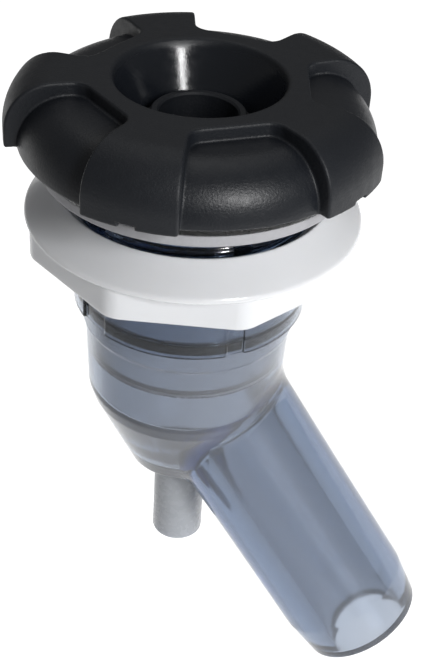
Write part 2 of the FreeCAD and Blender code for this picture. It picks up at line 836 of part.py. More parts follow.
def spigot_turn(body, corners, cut, label):
    """Turns an outline (radius, distance along the spigot) about the spigot's axis."""
    sketch = new_sketch(body, "XZ_Plane")
    tilt = FreeCAD.Rotation(FreeCAD.Vector(0, 0, 1), DIMENSIONS["spigot_angle"] - 180.0)
    start = FreeCAD.Vector(0, DIMENSIONS["spigot_origin"], 0)
    sketch.AttachmentOffset = FreeCAD.Placement(start, tilt)
    sketch.setExpression("AttachmentOffset.Base.y", dim("spigot_origin").text)
    sketch.setExpression("AttachmentOffset.Rotation.Angle", f"({dim('spigot_angle').text} - 180) * 1 deg")
    outline(sketch, corners)
    kind = "PartDesign::Groove" if cut else "PartDesign::Revolution"
    feature = body.newObject(kind, label)
    feature.Profile = sketch
    feature.ReferenceAxis = (sketch, ["V_Axis"])
    feature.Angle = 360
    body.Tip = feature
    return feature


def add_spigot(body):
    """A drafted root, the straight land that a pipe socket fits, and the lead-in taper."""
    radius = dim("spigot_radius")
    start = dim("spigot_start")
    land = dim("spigot_land_start")
    end = dim("spigot_length")
    lead = end - dim("spigot_lead_in")
    spigot_turn(body, [(0, start), (dim("spigot_root_radius"), start), (radius, land), (radius, lead),
                       (dim("spigot_end_radius"), end), (0, end)], cut=False, label="Spigot")


def cut_spigot_bore(body):
    bore = dim("spigot_bore")
    start = dim("spigot_bore_start")
    end = dim("spigot_length") + CUT_PAST
    spigot_turn(body, [(0, start), (bore, start), (bore, end), (0, end)], cut=True, label="SpigotBore")


def cut_cup_interior(body):
    """The bore that the rotor turns in, the ledge under it and the chamber below."""
    throat = dim("barrel_throat")
    ledge = dim("cup_ledge")
    chamber = dim("cup_ledge_radius")
    above = dim("barrel_ledge") + CUT_PAST
    groove(body, [(0, dim("cup_floor")), (dim("cup_floor_radius"), dim("cup_floor")),
                  (chamber, dim("cup_inner_shoulder")), (chamber, ledge), (throat, ledge), (throat, above),
                  (0, above)], label="Chamber")


def make_drain_tube(doc):
    """Short straight tube, turned down at its top to plug into the cup's floor."""
    body = new_body(doc, "drain_tube")
    bore = dim("drain_bore")
    outer = dim("drain_radius")
    plug = dim("drain_plug_radius")
    base = dim("drain_base")
    shoulder = dim("drain_shoulder")
    top = dim("drain_top")
    revolve(body, [(bore, base), (outer, base), (outer, shoulder), (plug, shoulder), (plug, top),
                   (bore, top)])
    return body


# ---------------------------------------------------------------------------- document

def build(doc):
    """Every sub-part, in the order of assembly from the top."""
    washer_low = dim("bonnet_top") + dim("washer_play")
    ring_level = dim("stem_ring_base") + dim("stem_ring_height") / 2
    rim_ring_level = dim("bonnet_ring_base") + dim("bonnet_ring_height") / 2
    rotor_ring_level = dim("rotor_ring_top") - dim("rotor_ring_height") / 2
    body_ring_level = (dim("ring_seat_top") + dim("barrel_base") + dim("body_gap")) / 2
    loose = dim("ring_clearance")
    ledge = dim("cup_ledge")
    return [
        make_handle(doc),
        make_stem_clip(doc),
        make_stem(doc),
        make_rotor_screw(doc),
        ring_body(doc, "stem_washer", dim("stem_radius") + dim("stem_clearance"), dim("washer_radius"),
                  washer_low, dim("stem_collar_base")),
        oring(doc, "stem_oring", dim("stem_radius") + loose, dim("stem_ring_outer"), ring_level),
        make_bonnet(doc),
        oring(doc, "bonnet_oring", dim("bonnet_ring_inner"), dim("barrel_bore"), rim_ring_level),
        make_bonnet_clip(doc),
        make_stop_pins(doc),
        make_face_seal(doc),
        make_rotor(doc),
        oring(doc, "rotor_oring", dim("rotor_ring_groove"), dim("barrel_throat") - loose, rotor_ring_level),
        ring_body(doc, "rotor_foot_ring", dim("foot_ring_inner"), dim("foot_ring_outer"), ledge,
                  ledge + dim("foot_ring_height")),
        make_barrel(doc),
        oring(doc, "barrel_oring", dim("body_ring_inner"), dim("ring_seat_radius"), body_ring_level),
        ring_body(doc, "deck_gasket", dim("gasket_inner"), dim("gasket_outer"), as_size(0),
                  dim("gasket_height")),
        make_nut(doc),
        make_lower_body(doc),
        make_drain_tube(doc),
    ]


def check(doc, parts):
    """Stops with a message if a feature failed or a sub-part isn't a sound solid."""
    for item in doc.Objects:
        if "Invalid" in item.State or "Error" in item.State:
            raise RuntimeError(f"{item.Label} ({item.Name}) failed: {item.State}")
    for part in parts:
        shape = part.Shape
        if shape.isNull() or not shape.isValid() or shape.Volume <= 0:
            raise RuntimeError(f"{part.Label} has no sound shape")


def main():
    doc = FreeCAD.newDocument("PanelValve")
    make_sheet(doc)
    parts = build(doc)
    doc.recompute()
    check(doc, parts)
    os.makedirs("parts", exist_ok=True)
    for part in parts:
        part.Shape.exportStep(os.path.join("parts", f"{part.Label}.step"))


main()
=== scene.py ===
"""Looks of the deck valve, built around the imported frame.

Shapes are worked out in millimetres in the row's frame (+Z up along the valve's axis, the spigot toward
+X) and turned into metres when a mesh is made.
"""

import json
import math

import bpy
import numpy as np
import openvdb
from mathutils import Matrix, Vector


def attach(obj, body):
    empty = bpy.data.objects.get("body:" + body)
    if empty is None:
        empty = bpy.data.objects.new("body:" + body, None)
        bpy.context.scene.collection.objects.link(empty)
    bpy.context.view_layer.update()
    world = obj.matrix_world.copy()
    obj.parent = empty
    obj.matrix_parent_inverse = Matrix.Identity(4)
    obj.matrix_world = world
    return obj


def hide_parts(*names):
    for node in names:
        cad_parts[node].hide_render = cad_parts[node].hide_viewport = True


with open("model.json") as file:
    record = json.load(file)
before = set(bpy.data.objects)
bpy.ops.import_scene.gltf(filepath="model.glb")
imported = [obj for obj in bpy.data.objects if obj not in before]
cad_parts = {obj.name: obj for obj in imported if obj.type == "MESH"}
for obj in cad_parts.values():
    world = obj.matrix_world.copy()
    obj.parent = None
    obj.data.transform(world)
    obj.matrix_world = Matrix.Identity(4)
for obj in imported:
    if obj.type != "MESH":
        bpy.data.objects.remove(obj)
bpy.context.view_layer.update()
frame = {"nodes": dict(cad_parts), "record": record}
NODES = frame["nodes"]
MM = 0.001

HANDLE = "handle"
BODY = "valve_body"
NUT = "nut"

# ---------------------------------------------------------------- driving sizes, millimetres and degrees

# handle
LOBES = 5
FIRST_LOBE = -90.0
HANDLE_TOP = 20.4
HANDLE_BASE = 6.4
LOBE_RADIUS = 40.8
LOBE_SHOULDER = 10.4
RECESS_RADIUS = 38.2
RECESS_TOP = 17.4
RECESS_SHOULDER = 10.6
RECESS_CHORD = 22.6
RECESS_HALF_ANGLE = 21.6
RECESS_CORNER = 3.6
BOWL_RIM = 18.4
BOWL_FLOOR_RADIUS = 12.7
BOWL_FLOOR = 8.6
HUB_BORE = 10.4
UNDER_WALL = 2.4
UNDER_RADIUS = 35.6
UNDER_TOP = 15.0
UNDER_SHOULDER = 8.4
NOTCH_WIDTH = 3.6
NOTCH_HEIGHT = 1.0
NOTCH_REACH = 1.0       # how far a notch starts inside the handle's wall
SMOOTH_FADE = 0.8       # width over which a recess turns smooth
BOWL_FADE = 0.6
BOWL_FADE_START = 0.3
RECESS_SMOOTHNESS = 0.35
LOBE_EDGE = 0.7
LOBE_FILLET = 0.5
BOWL_EDGE = 0.7
UNDER_EDGE = 0.4
HUB_EDGE = 0.3
NOTCH_EDGE = 0.15

# barrel and gasket
FLANGE_RADIUS = 34.5
FLANGE_TOP = 5.4
GASKET_TOP = 2.9
GASKET_INNER = 26.9
GASKET_OUTER = 33.9
THREAD_CREST = 26.4
THREAD_DEPTH = 0.8
THREAD_PITCH = 3.0
THREAD_TOP_GAP = 1.5
THREAD_RUNOUT = 10.0    # plain wall between the thread and the barrel's lower edge
THREAD_STEEPNESS = 0.75  # keeps the thread's field close to a true distance
BARREL_BASE = -33.4
BARREL_BORE = 24.2
BARREL_THROAT = 21.5
BARREL_LEDGE = -13.7
BONNET_SEAT = 0.9
RING_SEAT = 25.2
RING_SEAT_TOP = -30.3
RING_WALL = 22.4
RING_SQUEEZED_TOP = -30.8
RING_SQUEEZED_RISE = 0.25
RING_GAP = 0.06
KEYWAYS = ((-124.0, 8.0), (-48.0, 3.8))
KEYWAY_DEPTH = 0.7
KEYWAY_TOP_GAP = 0.3
KEYWAY_EDGE = 0.3
BARREL_BORE_EDGE = 0.15

# nut
NUT_FLATS = 8
NUT_TOP = -5.0
NUT_MOUTH = 29.7
NUT_BORE = 26.5
NUT_RIM = 37.0
NUT_RIM_TOP = -10.4
NUT_RIM_BASE = -11.4
NUT_BASE = -18.8
NUT_CORNER = 37.0
NUT_CORNER_ANGLE = -8.1
NUT_CORNER_ROUND = 6.0
NUT_CORE_INNER = 29.4
NUT_CORE_OUTER = 32.2
NUT_CORE_TOP = -14.0
NUT_PLUG_STEP = 4.0     # how much smaller than the rim the cone's plug is, where it enters the octagon
NUT_PLUG_DEPTH = 3.0
NUT_EDGE = 0.7
NUT_FILLET = 0.3
NUT_BORE_EDGE = 0.3

# cup, spigot and drain tube
NECK_RADIUS = 24.15
BODY_GAP = 0.2
RIDGE_RADIUS = 24.5
RIDGE_BASE = -38.4
CUP_TOP_RADIUS = 23.8
CUP_TOP = -39.1
CUP_RADIUS = 23.1
CUP_SHOULDER = -57.2
BEVEL_RADIUS = 22.2
BEVEL_BASE = -60.2
CONE_END_RADIUS = 12.8
CONE_END = -80.6
CHAMBER_FLOOR_RADIUS = 9.6
CHAMBER_FLOOR = -76.6
CHAMBER_RADIUS = 19.4
CHAMBER_SHOULDER = -57.6
CHAMBER_LEDGE = -47.4
CHAMBER_TOP = -9.0
SPIGOT_ANGLE = 36.0
SPIGOT_ORIGIN = -51.0
SPIGOT_START = 9.0
SPIGOT_RADIUS = 16.7
SPIGOT_ROOT = 17.0
SPIGOT_LAND = 45.0
SPIGOT_LENGTH = 88.4
SPIGOT_LEAD = 11.0
SPIGOT_END = 15.3
SPIGOT_BORE = 9.5
SPIGOT_BORE_START = 20.0
SPIGOT_FILLET = 2.4
PASSAGE_FILLET = 1.5
PASSAGE_EDGE = 0.5
DRAIN_RADIUS = 6.35
DRAIN_BORE = 4.8
DRAIN_BORE_TOP = -74.0
DRAIN_PLUG = 5.9
DRAIN_TOP = -78.2
DRAIN_SHOULDER = -80.9
DRAIN_BASE = -108.0
DRAIN_SOCKET = 5.95
DRAIN_RELIEF = 7.0
DRAIN_EDGE = 0.2

# softness of the small turned rings
RING_SOFTNESS = 0.7

# cell sizes of a quick and of a full mesh, and the boxes that hold each shape
HANDLE_CELLS = (0.62, 0.42)
HANDLE_BOX = 41.2
NUT_CELLS = (0.6, 0.42)
NUT_BOX = 37.2
BARREL_CELLS = (0.6, 0.4)
BARREL_BOX = 34.6
LOWER_BODY_CELLS = (0.8, 0.56)
LOWER_BODY_LOW = (-24.7, -24.7, -131.8)
LOWER_BODY_HIGH = (66.0, 24.7, BARREL_LEDGE)

# building
INNER = -12.0   # outlines of solids that reach the axis run past it to here
PAST = 4.0      # how far a cutting outline runs past the face it opens
NUDGE = 0.02    # step for measuring how fast a field grows
SETTLE_TURNS = 3
FLATTEST_SLOPE = 0.3    # least squared slope used when a point is moved
TINY = 1e-9

# ---------------------------------------------------------------- meshes

def mesh_object(name, points, faces):
    """A smooth-shaded mesh from points in millimetres."""
    mesh = bpy.data.meshes.new(name)
    mesh.from_pydata((np.asarray(points) * MM).tolist(), [], [tuple(map(int, face)) for face in faces])
    mesh.validate()
    mesh.polygons.foreach_set("use_smooth", [True] * len(mesh.polygons))
    mesh.update()
    piece = bpy.data.objects.new(name, mesh)
    bpy.context.scene.collection.objects.link(piece)
    return piece


def rounded(corners, steps=6):
    """A closed outline with each corner (x, y, radius) replaced by an arc of that radius."""
    outline = []
    count = len(corners)
    for index in range(count):
        x, y, radius = corners[index]
        here = np.array((x, y), float)
        if radius <= 0:
            outline.append(tuple(here))
            continue
        before = np.array(corners[index - 1][:2], float) - here
        after = np.array(corners[(index + 1) % count][:2], float) - here
        before /= np.linalg.norm(before)
        after /= np.linalg.norm(after)
        half = math.acos(max(-1.0, min(1.0, float(before @ after)))) / 2
        reach = radius / math.tan(half)
        middle = (before + after) / np.linalg.norm(before + after)
        centre = here + middle * radius / math.sin(half)
        start = here + before * reach - centre
        end = here + after * reach - centre
        first = math.atan2(start[1], start[0])
        sweep = (math.atan2(end[1], end[0]) - first + math.pi) % (2 * math.pi) - math.pi
        for step in range(steps + 1):
            angle = first + sweep * step / steps
            outline.append((centre[0] + radius * math.cos(angle), centre[1] + radius * math.sin(angle)))
    return outline


def lathe(name, outline, turns=192):
    """A closed outline of (radius, z) turned about the valve's axis."""
    outline = np.array(outline)
    angles = np.arange(turns) * 2 * math.pi / turns
    count = len(outline)
    points = np.empty((turns, count, 3))
    points[:, :, 0] = np.cos(angles)[:, None] * outline[None, :, 0]
    points[:, :, 1] = np.sin(angles)[:, None] * outline[None, :, 0]
    points[:, :, 2] = outline[None, :, 1]
    faces = []
    for turn in range(turns):
        here = turn * count
        there = (turn + 1) % turns * count
        for index in range(count):
            after = (index + 1) % count
            faces.append((here + index, there + index, there + after, here + after))
    return face_outward(mesh_object(name, points.reshape(-1, 3), faces))


def face_outward(piece):
    """Flips a closed mesh whose faces look inward."""
    mesh = piece.data
    mesh.calc_loop_triangles()
    count = len(mesh.loop_triangles)
    corners = np.empty(count * 3, np.int64)
    mesh.loop_triangles.foreach_get("vertices", corners)
    triangles = vertex_places(mesh)[corners.reshape(-1, 3)]
    volume = np.einsum("ij,ij->i", triangles[:, 0], np.cross(triangles[:, 1], triangles[:, 2])).sum()
    if volume < 0:
        mesh.flip_normals()
    return piece


def vertex_places(mesh):
    places = np.empty(len(mesh.vertices) * 3)
    mesh.vertices.foreach_get("co", places)
    return places.reshape(-1, 3)


# ---------------------------------------------------------------- solids from distance fields

class Places:
    """Points in millimetres, as arrays that broadcast together, with their radius and angle about Z."""

    def __init__(self, x, y, z):
        self.x = x
        self.y = y
        self.z = z
        self.radius = np.sqrt(x ** 2 + y ** 2)
        self.angle = np.degrees(np.arctan2(y, x + 0 * y))

    def turned(self, outline):
        """Distance to an outline of (radius, z) turned about Z."""
        return polygon_distance(outline, self.radius, self.z)

    def fold(self, count, first):
        """Angle in radians from the nearest of some evenly spaced directions, the first in degrees."""
        pitch = 360.0 / count
        return np.radians((self.angle - first + pitch / 2) % pitch - pitch / 2)


class Lattice(Places):
    """The corners of the cells that fill a box."""

    def __init__(self, low, high, step):
        self.low = np.array(low, float) - 2 * step
        self.step = step
        counts = np.ceil((np.array(high, float) + 2 * step - self.low) / step).astype(int) + 1
        x, y, z = [(start + step * np.arange(count)).astype(np.float32)
                   for start, count in zip(self.low, counts)]
        super().__init__(x[:, None, None], y[None, :, None], z[None, None, :])

    def turned(self, outline):
        """The same distance, read from a table over radius and z."""
        spacing = self.step / 2
        radii = np.arange(0, float(self.radius.max()) + 2 * spacing, spacing)
        table = polygon_distance(outline, radii[:, None], self.z[0, 0][None, :].astype(float))
        place = self.radius[:, :, 0] / spacing
        index = np.minimum(place.astype(int), len(radii) - 2)
        share = (place - index)[:, :, None].astype(np.float32)
        table = table.astype(np.float32)
        return table[index] * (1 - share) + table[index + 1] * share


def distance_and_slope(points, shape):
    """The shape's distance at each point, and how fast it grows along each axis."""
    here = shape(Places(*points.T))
    slope = np.empty_like(points)
    for axis in range(3):
        moved = points.copy()
        moved[:, axis] += NUDGE
        slope[:, axis] = (shape(Places(*moved.T)) - here) / NUDGE
    return here, slope


def carve(name, shape, box, cells):
    """The closed surface where the shape's distance is zero, with each point settled onto it."""
    step = cells[1]
    lattice = Lattice(*box, step)
    band = 3 * step
    grid = openvdb.FloatGrid(band)
    grid.copyFromArray(np.ascontiguousarray(np.clip(shape(lattice), -band, band), dtype=np.float32))
    points, quads = grid.convertToQuads(isovalue=0.0)
    points = points.astype(float) * step + lattice.low
    for turn in range(SETTLE_TURNS):
        distance, slope = distance_and_slope(points, shape)
        steepness = np.maximum((slope ** 2).sum(1), FLATTEST_SLOPE)
        move = slope * (distance / steepness)[:, None]
        length = np.maximum(np.linalg.norm(move, axis=1), TINY)
        points -= move * np.minimum(1, step / 2 / length)[:, None]
    piece = face_outward(mesh_object(name, points, quads))
    distance, slope = distance_and_slope(points, shape)
    slope /= np.maximum(np.linalg.norm(slope, axis=1), TINY)[:, None]
    piece.data.normals_split_custom_set_from_vertices(slope.tolist())
    return piece


def around_axis(radius, low, high):
    """A box around the valve's axis, as its two corners."""
    return (-radius, -radius, low), (radius, radius, high)


def polygon_distance(outline, u, v):
    """Signed distance to a closed outline, negative inside."""
    nearest = np.full(np.broadcast(u, v).shape, np.inf)
    inside = np.zeros(nearest.shape, bool)
    for (ax, ay), (bx, by) in zip(outline, outline[1:] + outline[:1]):
        ex = bx - ax
        ey = by - ay
        length = ex * ex + ey * ey
        if length < 1e-12:
            continue
        share = np.clip(((u - ax) * ex + (v - ay) * ey) / length, 0, 1)
        nearest = np.minimum(nearest, (u - ax - share * ex) ** 2 + (v - ay - share * ey) ** 2)
        if ay != by:
            inside ^= ((ay > v) != (by > v)) & (u < ex * (v - ay) / ey + ax)
    return np.where(inside, -1.0, 1.0) * np.sqrt(nearest)


def join(first, second, blend=0.0):
    """Union of two fields, with a fillet of about the blend's size."""
    if blend <= 0:
        return np.minimum(first, second)
    share = np.clip(0.5 + 0.5 * (second - first) / blend, 0, 1)
    return second * (1 - share) + first * share - blend * share * (1 - share)


def keep_both(first, second, blend=0.0):
    """Intersection of two fields, with a rounded edge."""
    return -join(-first, -second, blend)


def cut(solid, tool, blend=0.0):
    return keep_both(solid, -tool, blend)


def below_level(places, radius, level):
    """A rod about the axis that ends at the level and has no lower end."""
    return keep_both(places.radius - radius, places.z - level)


# ---------------------------------------------------------------- handle

def dome(radius, top, shoulder):
    """Outline of a flat-topped dome with a quarter-round shoulder."""
    return rounded([(INNER, HANDLE_BASE, 0), (radius, HANDLE_BASE, 0.5), (radius, top, shoulder),
                    (INNER, top, 0)], steps=24)


def recess_plan(places):
    """Distance in plan to the nearest recess: a straight inner edge and two radial sides."""
    fold = places.fold(LOBES, FIRST_LOBE + 180.0 / LOBES)
    spread = math.tan(math.radians(RECESS_HALF_ANGLE))
    far = LOBE_RADIUS + 20
    outline = rounded([(RECESS_CHORD, -RECESS_CHORD * spread, RECESS_CORNER),
                       (far, -far * spread, 0), (far, far * spread, 0),
                       (RECESS_CHORD, RECESS_CHORD * spread, RECESS_CORNER)])
    return polygon_distance(outline, places.radius * np.cos(fold), places.radius * np.sin(fold))


def bowl_outline(slope):
    above = HANDLE_TOP + PAST
    return [(INNER, BOWL_FLOOR), (BOWL_FLOOR_RADIUS, BOWL_FLOOR), (BOWL_RIM, HANDLE_TOP),
            (BOWL_RIM + PAST * slope, above), (INNER, above)]


def under_outline(slope):
    """The hollow under the handle, between its outer wall and the bowl's wall."""
    hub = BOWL_FLOOR_RADIUS + UNDER_WALL
    below = HANDLE_BASE - PAST
    return rounded([(hub, below, 0), (UNDER_RADIUS, below, 0), (UNDER_RADIUS, UNDER_TOP, UNDER_SHOULDER),
                    (hub + (UNDER_TOP - HANDLE_BASE) * slope, UNDER_TOP, 1.0), (hub, HANDLE_BASE, 0)])


def notch_field(places):
    """A small notch in the foot of each lobe."""
    across = np.abs(places.radius * np.sin(places.fold(LOBES, FIRST_LOBE))) - NOTCH_WIDTH / 2
    height = places.z - HANDLE_BASE - NOTCH_HEIGHT
    return np.maximum(np.maximum(across, height), UNDER_RADIUS - NOTCH_REACH - places.radius)


def handle_shape(places):
    lobes = places.turned(dome(LOBE_RADIUS, HANDLE_TOP, LOBE_SHOULDER))
    lobes = cut(lobes, recess_plan(places), LOBE_EDGE)
    shape = join(lobes, places.turned(dome(RECESS_RADIUS, RECESS_TOP, RECESS_SHOULDER)), LOBE_FILLET)
    slope = (BOWL_RIM - BOWL_FLOOR_RADIUS) / (HANDLE_TOP - BOWL_FLOOR)
    shape = cut(shape, places.turned(bowl_outline(slope)), BOWL_EDGE)
    shape = cut(shape, places.turned(under_outline(slope)), UNDER_EDGE)
    shape = cut(shape, places.radius - HUB_BORE, HUB_EDGE)
    return cut(shape, notch_field(places), NOTCH_EDGE)


def make_handle():
    box = around_axis(HANDLE_BOX, HANDLE_BASE, HANDLE_TOP)
    piece = carve("handle_shell", handle_shape, box, HANDLE_CELLS)
    mark_recess(piece)
    return piece


def mark_recess(piece):
    """Stores how far each point lies inside a recess or the bowl, where the moulding is smoother."""
    mesh = piece.data
    places = Places(*(vertex_places(mesh) / MM).T)
    fold = places.fold(LOBES, FIRST_LOBE + 180.0 / LOBES)
    half = math.radians(RECESS_HALF_ANGLE)
    along = places.radius * np.cos(fold)
    side = np.abs(places.radius * np.sin(fold)) * math.cos(half) - along * math.sin(half)
    recess = np.clip(-np.maximum(RECESS_CHORD - along, side) / SMOOTH_FADE, 0, 1)
    bowl = np.clip((BOWL_RIM - BOWL_FADE_START - places.radius) / BOWL_FADE, 0, 1)
    smooth = mesh.attributes.new("smooth_area", "FLOAT", "POINT")
    smooth.data.foreach_set("value", np.maximum(recess * RECESS_SMOOTHNESS, bowl))


# ---------------------------------------------------------------- nut, barrel, lower body

def octagon(places):
    """Distance in plan to the nut's eight flats, with rounded corners."""
    half = math.pi / NUT_FLATS
    apothem = NUT_CORNER * math.cos(half) - NUT_CORNER_ROUND
    fold = places.fold(NUT_FLATS, NUT_CORNER_ANGLE + 180.0 / NUT_FLATS)
    along = places.radius * np.cos(fold) - apothem
    beyond = np.maximum(np.abs(places.radius * np.sin(fold)) - apothem * math.tan(half), 0)
    return np.where(beyond > 0, np.hypot(along, beyond), along) - NUT_CORNER_ROUND


def nut_shape(places):
    plug = NUT_RIM - NUT_PLUG_STEP
    plug_base = NUT_RIM_BASE - NUT_PLUG_DEPTH
    cone = rounded([(INNER, plug_base, 0), (plug, plug_base, 0), (plug, NUT_RIM_BASE, 0),
                    (NUT_RIM, NUT_RIM_BASE, 0.35), (NUT_RIM, NUT_RIM_TOP, 1.2), (NUT_MOUTH, NUT_TOP, 0.6),
                    (INNER, NUT_TOP, 0)])
    levels = np.maximum(NUT_BASE - places.z, places.z - NUT_RIM_BASE)
    shape = join(places.turned(cone), keep_both(octagon(places), levels, NUT_EDGE), NUT_FILLET)
    lead = NUT_MOUTH - NUT_BORE
    below = NUT_BASE - PAST
    above = NUT_TOP + PAST
    bore = [(INNER, below), (NUT_BORE, below), (NUT_BORE, NUT_TOP - lead), (NUT_MOUTH, NUT_TOP),
            (NUT_MOUTH, above), (INNER, above)]
    core = [(NUT_CORE_INNER, below), (NUT_CORE_OUTER, below), (NUT_CORE_OUTER, NUT_CORE_TOP),
            (NUT_CORE_INNER, NUT_CORE_TOP)]
    shape = cut(shape, places.turned(bore), NUT_BORE_EDGE)
    return cut(shape, places.turned(core), NUT_BORE_EDGE)


def make_nut():
    return carve("nut_moulding", nut_shape, around_axis(NUT_BOX, NUT_BASE, NUT_TOP), NUT_CELLS)


def threaded(places, shape):
    """The wall with its thread, which stops short of the flange and of the lower edge."""
    wave = np.cos(2 * math.pi * (places.z / THREAD_PITCH - places.angle / 360.0))
    thread = places.radius - (THREAD_CREST - THREAD_DEPTH / 2 + THREAD_DEPTH / 2 * wave)
    top = GASKET_TOP - THREAD_TOP_GAP
    base = BARREL_BASE + THREAD_RUNOUT
    within = (places.z < top) & (places.z > base)
    return np.where(within, np.maximum(shape, thread * THREAD_STEEPNESS), shape)


def barrel_shape(places):
    outer = rounded([(INNER, BARREL_BASE, 0), (THREAD_CREST, BARREL_BASE, 0.15),
                     (THREAD_CREST, GASKET_TOP, 0.3), (FLANGE_RADIUS, GASKET_TOP, 0.5),
                     (FLANGE_RADIUS, FLANGE_TOP, 0.9), (INNER, FLANGE_TOP, 0)])
    shape = threaded(places, places.turned(outer))
    below = BARREL_BASE - PAST
    above = FLANGE_TOP + PAST
    bore = [(INNER, below), (RING_SEAT, below), (RING_SEAT, RING_SEAT_TOP), (BARREL_BORE, RING_SEAT_TOP),
            (BARREL_BORE, BARREL_LEDGE), (BARREL_THROAT, BARREL_LEDGE), (BARREL_THROAT, BONNET_SEAT),
            (BARREL_BORE, BONNET_SEAT), (BARREL_BORE, above), (INNER, above)]
    shape = cut(shape, places.turned(bore), BARREL_BORE_EDGE)
    for angle, width in KEYWAYS:
        turn = np.radians(places.angle - angle)
        across = np.abs(places.radius * np.sin(turn)) - width / 2
        depth = THREAD_CREST - KEYWAY_DEPTH - places.radius
        slot = np.maximum(np.maximum(across, depth), places.z - GASKET_TOP + KEYWAY_TOP_GAP)
        shape = np.where(np.cos(turn) > 0, cut(shape, slot, KEYWAY_EDGE), shape)
    return shape


def make_barrel():
    box = around_axis(BARREL_BOX, BARREL_BASE, FLANGE_TOP)
    return carve("barrel_shell", barrel_shape, box, BARREL_CELLS)


def spigot_frame(places):
    """Distance from the spigot's axis, and distance along it from where it meets the valve's axis."""
    angle = math.radians(SPIGOT_ANGLE)
    height = places.z - SPIGOT_ORIGIN
    along = places.x * math.sin(angle) - height * math.cos(angle)
    square = places.x ** 2 + places.y ** 2 + height ** 2 - along ** 2
    return np.sqrt(np.maximum(square, 0)), along


def cup_outline():
    base = BARREL_BASE + BODY_GAP
    return rounded([(INNER, CONE_END, 0), (CONE_END_RADIUS, CONE_END, 1.0), (BEVEL_RADIUS, BEVEL_BASE, 2.0),
                    (CUP_RADIUS, CUP_SHOULDER, 3.0), (CUP_TOP_RADIUS, CUP_TOP, 0.5),
                    (RIDGE_RADIUS, RIDGE_BASE, 0.3), (RIDGE_RADIUS, base, 0.3), (RING_WALL, base, 0.2),
                    (RING_WALL, RING_SEAT_TOP, 0.2), (NECK_RADIUS, RING_SEAT_TOP, 0.2),
                    (NECK_RADIUS, BARREL_LEDGE, 0.3), (INNER, BARREL_LEDGE, 0)])


def chamber_outline():
    return rounded([(INNER, CHAMBER_FLOOR, 0), (CHAMBER_FLOOR_RADIUS, CHAMBER_FLOOR, 1.0),
                    (CHAMBER_RADIUS, CHAMBER_SHOULDER, 2.0), (CHAMBER_RADIUS, CHAMBER_LEDGE, 0),
                    (BARREL_THROAT, CHAMBER_LEDGE, 0), (BARREL_THROAT, CHAMBER_TOP, 0),
                    (INNER, CHAMBER_TOP, 0)])


def spigot_outline():
    """Outline over radius and distance along the spigot: drafted root, straight land, lead-in."""
    lead = SPIGOT_LENGTH - SPIGOT_LEAD
    return rounded([(INNER, SPIGOT_START, 0), (SPIGOT_ROOT, SPIGOT_START, 0),
                    (SPIGOT_RADIUS, SPIGOT_LAND, 0), (SPIGOT_RADIUS, lead, 6.0),
                    (SPIGOT_END, SPIGOT_LENGTH, 0.9), (INNER, SPIGOT_LENGTH, 0)])


def lower_body_shape(places):
    radius, along = spigot_frame(places)
    spigot = polygon_distance(spigot_outline(), radius, along)
    shape = join(places.turned(cup_outline()), spigot, SPIGOT_FILLET)
    shape = np.maximum(shape, places.z - BARREL_LEDGE)
    bore = keep_both(radius - SPIGOT_BORE, SPIGOT_BORE_START - along)
    passage = join(places.turned(chamber_outline()), bore, PASSAGE_FILLET)
    shape = cut(shape, passage, PASSAGE_EDGE)
    rods = ((DRAIN_BORE, DRAIN_BORE_TOP), (DRAIN_SOCKET, DRAIN_TOP), (DRAIN_RELIEF, DRAIN_SHOULDER))
    for size, top in rods:
        shape = cut(shape, below_level(places, size, top), DRAIN_EDGE)
    return shape


def make_lower_body():
    """The cup and spigot. The box reaches from the spigot's mouth to the top of the neck."""
    box = (LOWER_BODY_LOW, LOWER_BODY_HIGH)
    return carve("cup_and_spigot", lower_body_shape, box, LOWER_BODY_CELLS)


# ---------------------------------------------------------------- small turned pieces

def block(inner, outer, base, top, soft):
    """Outline of a ring's section with four rounded corners."""
    return rounded([(inner, base, soft), (outer, base, soft), (outer, top, soft), (inner, top, soft)])


def make_gasket():
    return lathe("gasket_ring", block(GASKET_INNER, GASKET_OUTER, 0, GASKET_TOP, RING_SOFTNESS))


def make_drain():
    return lathe("drain_pipe", rounded([(DRAIN_BORE, DRAIN_BASE, 0.5), (DRAIN_RADIUS, DRAIN_BASE, 0.5),
                                        (DRAIN_RADIUS, DRAIN_SHOULDER, 0.2),
                                        (DRAIN_PLUG, DRAIN_SHOULDER, 0), (DRAIN_PLUG, DRAIN_TOP, 0.2),
                                        (DRAIN_BORE, DRAIN_TOP, 0.2)]), 96)


def make_squeezed_ring():
    """The barrel's O-ring, flattened in its groove."""
    inner = RING_WALL + RING_GAP
    outer = RING_SEAT - RING_GAP
    base = BARREL_BASE + RING_SQUEEZED_RISE
    return lathe("barrel_ring", block(inner, outer, base, RING_SQUEEZED_TOP, RING_SOFTNESS))


# ---------------------------------------------------------------- materials

def new_material(name):
    material = bpy.data.materials.new(name)
    material.use_nodes = True
    tree = material.node_tree
    shader = next(node for node in tree.nodes if node.type == "BSDF_PRINCIPLED")
    return material, tree, shader


def set_values(shader, **values):
    for name, value in values.items():
        shader.inputs[name.replace("_", " ")].default_value = value


def link(tree, source, target):
    tree.links.new(source, target)


def object_place(tree):
    return tree.nodes.new("ShaderNodeTexCoord").outputs["Object"]


def noise(tree, grain, detail=2.0, roughness=0.5):
    """Noise whose features are about the grain's size, in millimetres."""
    node = tree.nodes.new("ShaderNodeTexNoise")
    node.inputs["Scale"].default_value = 1.0 / (grain * MM)
    node.inputs["Detail"].default_value = detail
    node.inputs["Roughness"].default_value = roughness
    link(tree, object_place(tree), node.inputs["Vector"])
    return node.outputs["Fac"]


